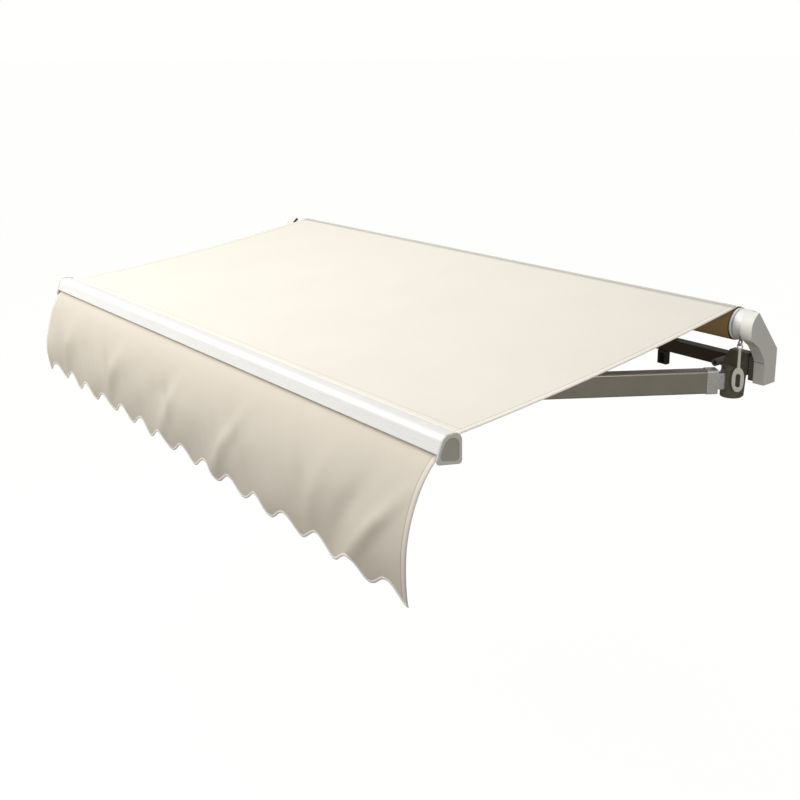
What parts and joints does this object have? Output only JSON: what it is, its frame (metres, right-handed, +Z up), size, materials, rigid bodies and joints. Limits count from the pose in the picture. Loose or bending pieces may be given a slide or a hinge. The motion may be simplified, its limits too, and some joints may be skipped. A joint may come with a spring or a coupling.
{
  "type": "canvas awning",
  "caption": "Retractable folding-arm patio awning: sloping canvas from a wall roller to a white front bar with a scalloped hanging valance, crank-driven.",
  "frame": {"origin": "on the wall plane, at mid width, level with the centre of the square support bar", "axes": "+Z up, -Y out from the wall along the canopy's run, +X to the crank side (the viewer's right)"},
  "size_m": [2.418, 1.304, 0.5046],
  "materials": {
    "arm_painted_aluminium": "satin paint",
    "cream_canvas": "woven acrylic canvas",
    "dark_cast_aluminium": "painted casting",
    "dark_painted_steel": "satin paint",
    "grey_plastic": "satin moulded",
    "polished_aluminium": "polished",
    "white_painted_aluminium": "smooth satin powder coat",
    "white_plastic": "satin moulded",
    "zinc_steel": "zinc plated"
  },
  "bodies": {
    "frame": {"torsion_bar": "dark_painted_steel", "canopy": "cream_canvas", "gear_case": "white_plastic", "bearing_case": "white_plastic", "wall_bracket_left": "dark_painted_steel", "wall_screw_left": "zinc_steel", "end_cover_left": "grey_plastic", "end_bracket_left": "dark_cast_aluminium", "shoulder_bracket_left": "dark_cast_aluminium", "clamp_plate_left": "dark_cast_aluminium", "clamp_bolt_left": "zinc_steel", "shoulder_pin_left": "zinc_steel", "wall_bracket_right": "dark_painted_steel", "wall_screw_right": "zinc_steel", "end_cover_right": "grey_plastic", "end_bracket_right": "dark_cast_aluminium", "shoulder_bracket_right": "dark_cast_aluminium", "clamp_plate_right": "dark_cast_aluminium", "clamp_bolt_right": "zinc_steel", "shoulder_pin_right": "zinc_steel"},
    "roller": {"roller_tube": "zinc_steel", "fabric_roll": "cream_canvas", "roller_plug_left": "white_plastic", "roller_plug_right": "white_plastic", "worm_wheel": "zinc_steel"},
    "worm": {"worm": "zinc_steel"},
    "crank": {"crank_eye": "white_painted_aluminium"},
    "front_bar": {"front_bar": "white_painted_aluminium", "canopy_keder": "white_plastic", "valance_keder": "white_plastic", "valance": "cream_canvas", "front_bar_cap_left": "grey_plastic", "arm_holder_left": "white_painted_aluminium", "holder_screw_inner_left": "zinc_steel", "holder_screw_outer_left": "zinc_steel", "front_bar_cap_right": "grey_plastic", "arm_holder_right": "white_painted_aluminium", "holder_screw_inner_right": "zinc_steel", "holder_screw_outer_right": "zinc_steel"},
    "rear_arm_left": {"rear_arm_left": "arm_painted_aluminium", "rear_knuckle_left": "polished_aluminium", "elbow_fork_left": "polished_aluminium", "elbow_pin_left": "zinc_steel"},
    "front_arm_left": {"front_arm_left": "arm_painted_aluminium", "elbow_tongue_left": "polished_aluminium", "front_knuckle_left": "polished_aluminium", "front_pin_left": "zinc_steel"},
    "rear_arm_right": {"rear_arm_right": "arm_painted_aluminium", "rear_knuckle_right": "polished_aluminium", "elbow_fork_right": "polished_aluminium", "elbow_pin_right": "zinc_steel"},
    "front_arm_right": {"front_arm_right": "arm_painted_aluminium", "elbow_tongue_right": "polished_aluminium", "front_knuckle_right": "polished_aluminium", "front_pin_right": "zinc_steel"}
  },
  "joints": [
    {"name": "right_shoulder", "type": "hinge", "parent": "frame", "child": "rear_arm_right", "pos_m": [1.1211, -0.0849, -0.043], "axis": [0, 0, -1], "range_deg": [0, 54.9], "deforming": ["canopy"]},
    {"name": "right_elbow", "type": "hinge", "parent": "rear_arm_right", "child": "front_arm_right", "pos_m": [0.73902, -0.67192, -0.043], "axis": [0, 0, 1], "range_deg": [0, 126]},
    {"name": "right_front_pivot", "type": "hinge", "parent": "front_arm_right", "child": "front_bar", "pos_m": [0.86067, -1.095, -0.043], "axis": [0, 0, -1], "range_deg": [0, 71]},
    {"name": "left_shoulder", "type": "hinge", "parent": "frame", "child": "rear_arm_left", "pos_m": [-1.1211, -0.0849, -0.043], "axis": [0, 0, 1], "range_deg": [0, 55]},
    {"name": "left_elbow", "type": "hinge", "parent": "rear_arm_left", "child": "front_arm_left", "pos_m": [-0.73902, -0.67192, -0.043], "axis": [0, 0, -1], "range_deg": [0, 126]},
    {"name": "roller_spin", "type": "hinge", "parent": "frame", "child": "roller", "pos_m": [0, -0.082, 0.128], "axis": [-1, 0, 0], "range_deg": [0, 1300]},
    {"name": "crank_spin", "type": "hinge", "parent": "frame", "child": "worm", "pos_m": [1.161, -0.1155, 0.1], "axis": [0, 0, 1], "range_deg": [-13000, 0]},
    {"name": "crank_eye_swing", "type": "hinge", "parent": "worm", "child": "crank", "pos_m": [1.161, -0.1155, 0.0808], "axis": [1, 0, 0], "range_deg": [-45, 7]}
  ],
  "couplings": [
    {"joint": "right_elbow", "follows": "right_shoulder", "ratio": 2.2884},
    {"joint": "right_front_pivot", "follows": "right_shoulder", "ratio": 1.2884},
    {"joint": "left_shoulder", "follows": "right_shoulder", "ratio": 1},
    {"joint": "left_elbow", "follows": "right_shoulder", "ratio": 2.2884},
    {"joint": "roller_spin", "follows": "right_shoulder", "ratio": 23.6},
    {"joint": "crank_spin", "follows": "right_shoulder", "ratio": -236}
  ]
}
